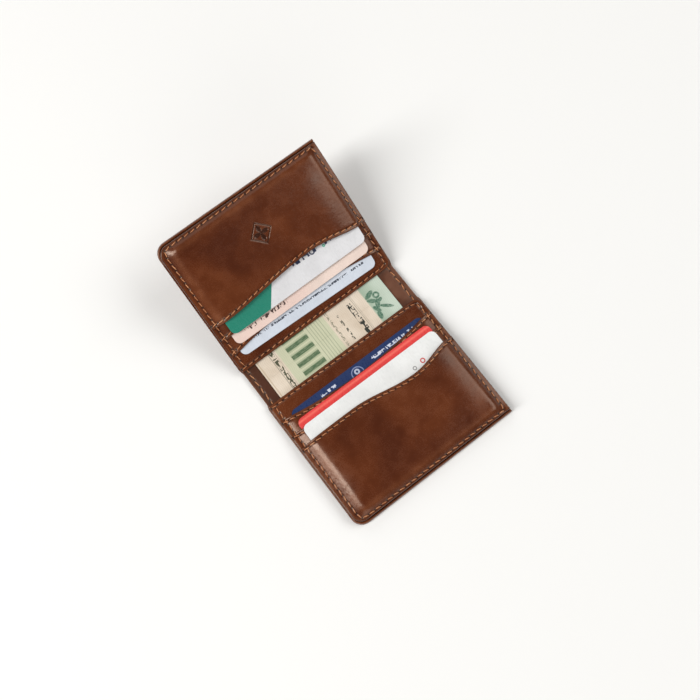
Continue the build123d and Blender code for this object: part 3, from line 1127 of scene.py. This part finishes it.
CARD_LOOKS = {
    "navy": ((38, 56, 100), [
        (lambda n: ring(n, (-1.9, 5.0), 3.4, 0.5), (140, 152, 188)),
        (lambda n: ring(n, (-1.9, 4.0), 1.1, 0.9), (190, 196, 215)),
        (lambda n: dashes(n, (-24.5, -15.0, 2.3, 3.9), 0.8), (214, 220, 234)),
        (lambda n: dashes(n, (8.0, 36.0, 2.3, 4.0), 0.8, 0.8), (214, 220, 234)),
    ]),
    "red": ((232, 72, 70), [
        # A lighter stripe along the card's edge by the fold: a painted highlight.
        (lambda n: patch(n, (-60, 60, 1.2, 2.2), 0.5), (250, 116, 102)),
    ]),
    "white": ((244, 244, 241), [
        (lambda n: ring(n, (28.2, 10.0), 1.1, 0.6), (206, 58, 52)),
        (lambda n: ring(n, (22.4, 10.8), 0.9, 0.45), (128, 126, 124)),
    ]),
    "pale": ((222, 229, 239), [
        (lambda n: dashes(n, (-33.0, 37.0, 4.9, 6.1), 0.7, 0.9), (70, 76, 88)),
    ]),
    "peach": ((248, 226, 213), [
        (lambda n: n.times(patch(n, (-60, 4, -5, 60), 3.0), 0.35), (244, 204, 192)),
        (lambda n: dashes(n, (-35.5, -9.0, 3.2, 5.2), 0.8, 0.8), (78, 60, 56)),
    ]),
    "green_white": ((236, 235, 236), [
        (lambda n: dashes(n, (1.5, 31.5, 10.8, 14.0), 1.5, 0.9), (48, 56, 84)),
        (lambda n: ring(n, (15.0, 12.0), 1.3, 0.7), (48, 56, 84)),
        (lambda n: ring(n, (22.0, 11.0), 0.5, 0.7), (98, 178, 150)),
        (lambda n: green_side(n), (44, 136, 114)),
    ]),
}


def green_side(n):
    """1 on the left part of the card, up to a slanted border."""
    across, along = n.axes()
    border = n.math("MULTIPLY_ADD", along, 0.73, -19.4)
    return n.span(n.math("SUBTRACT", border, across), -0.1, 0.1)


note_paper = note_material()
for side in SIDES:
    skins = drape(side)
    build_cover(side)
    build_lining(side)
    build_base_panel(side)
    for k, skin in enumerate(skins):
        build_pocket(side, k, skin)
        base, prints = CARD_LOOKS[CARDS[side][k]]
        build_card(side, k, card_material(f"{CARDS[side][k]}_card", base, prints))
    build_threads(side, skins)
    build_note(side, note_paper)


# ================================ Camera, light and floor ================================

def add_camera():
    """Camera at the height and turn from which the wallet is seen lying on a table."""
    turn = math.radians(-128.41)
    height = math.radians(76.42)
    roll = math.radians(1.02)
    target = Vector((3.16, 37.62, 0.0)) * MM
    distance = 527.3 * MM
    level = Vector((math.cos(turn), math.sin(turn), 0))
    back = level * math.cos(height) + Vector((0, 0, math.sin(height)))
    right = Vector((-math.sin(turn), math.cos(turn), 0))
    up = back.cross(right)
    turned_right = right * math.cos(roll) + up * math.sin(roll)
    turned_up = up * math.cos(roll) - right * math.sin(roll)
    data = bpy.data.cameras.new("camera")
    data.sensor_width = 36.0
    data.lens = 51.43
    camera = bpy.data.objects.new("camera", data)
    bpy.context.scene.collection.objects.link(camera)
    rotation = Matrix((turned_right, turned_up, back)).transposed()
    camera.matrix_world = Matrix.Translation(target + back * distance) @ rotation.to_4x4()
    bpy.context.scene.camera = camera


def add_light(name, place, aim, size, power):
    """Soft rectangular light at a place, facing a point."""
    data = bpy.data.lights.new(name, "AREA")
    data.shape = "RECTANGLE"
    data.size, data.size_y = size
    data.energy = power
    light = bpy.data.objects.new(name, data)
    bpy.context.scene.collection.objects.link(light)
    light.location = place
    light.rotation_mode = "QUATERNION"
    light.rotation_quaternion = (Vector(place) - Vector(aim)).to_track_quat("Z", "Y")


def add_floor():
    """Plain pale table top."""
    mesh = bpy.data.meshes.new("floor")
    reach = 6.0
    corners = [(-reach, -reach, 0), (reach, -reach, 0), (reach, reach, 0), (-reach, reach, 0)]
    mesh.from_pydata(corners, [], [(0, 1, 2, 3)])
    floor = bpy.data.objects.new("floor", mesh)
    floor.location.z = cad_low.z - 0.0003
    bpy.context.scene.collection.objects.link(floor)
    material = bpy.data.materials.new("floor")
    material.use_nodes = True
    shader = material.node_tree.nodes["Principled BSDF"]
    shader.inputs["Base Color"].default_value = srgb(250, 249, 246)
    shader.inputs["Roughness"].default_value = 0.9
    shader.inputs["Specular IOR Level"].default_value = 0.1
    mesh.materials.append(material)


def add_world():
    world = bpy.data.worlds.new("world")
    world.use_nodes = True
    background = world.node_tree.nodes["Background"]
    background.inputs["Color"].default_value = (1.0, 0.99, 0.975, 1)
    background.inputs["Strength"].default_value = 0.15
    bpy.context.scene.world = world
    bpy.context.scene.view_settings.view_transform = "Standard"


add_camera()
add_floor()
add_world()
middle = Vector((0, fold_y["lower"] * MM, 0))
add_light("left_light", (-1.42, 0.33, 1.31), middle, (0.54, 1.45), 29.0)
add_light("right_light", (1.27, -0.28, 1.43), middle, (1.65, 1.15), 17.0)
add_light("front_light", (-0.8, -1.6, 0.62), middle, (1.9, 0.8), 7.5)
add_light("back_light", (0.1, 1.56, 1.17), middle, (1.8, 1.05), 5.2)
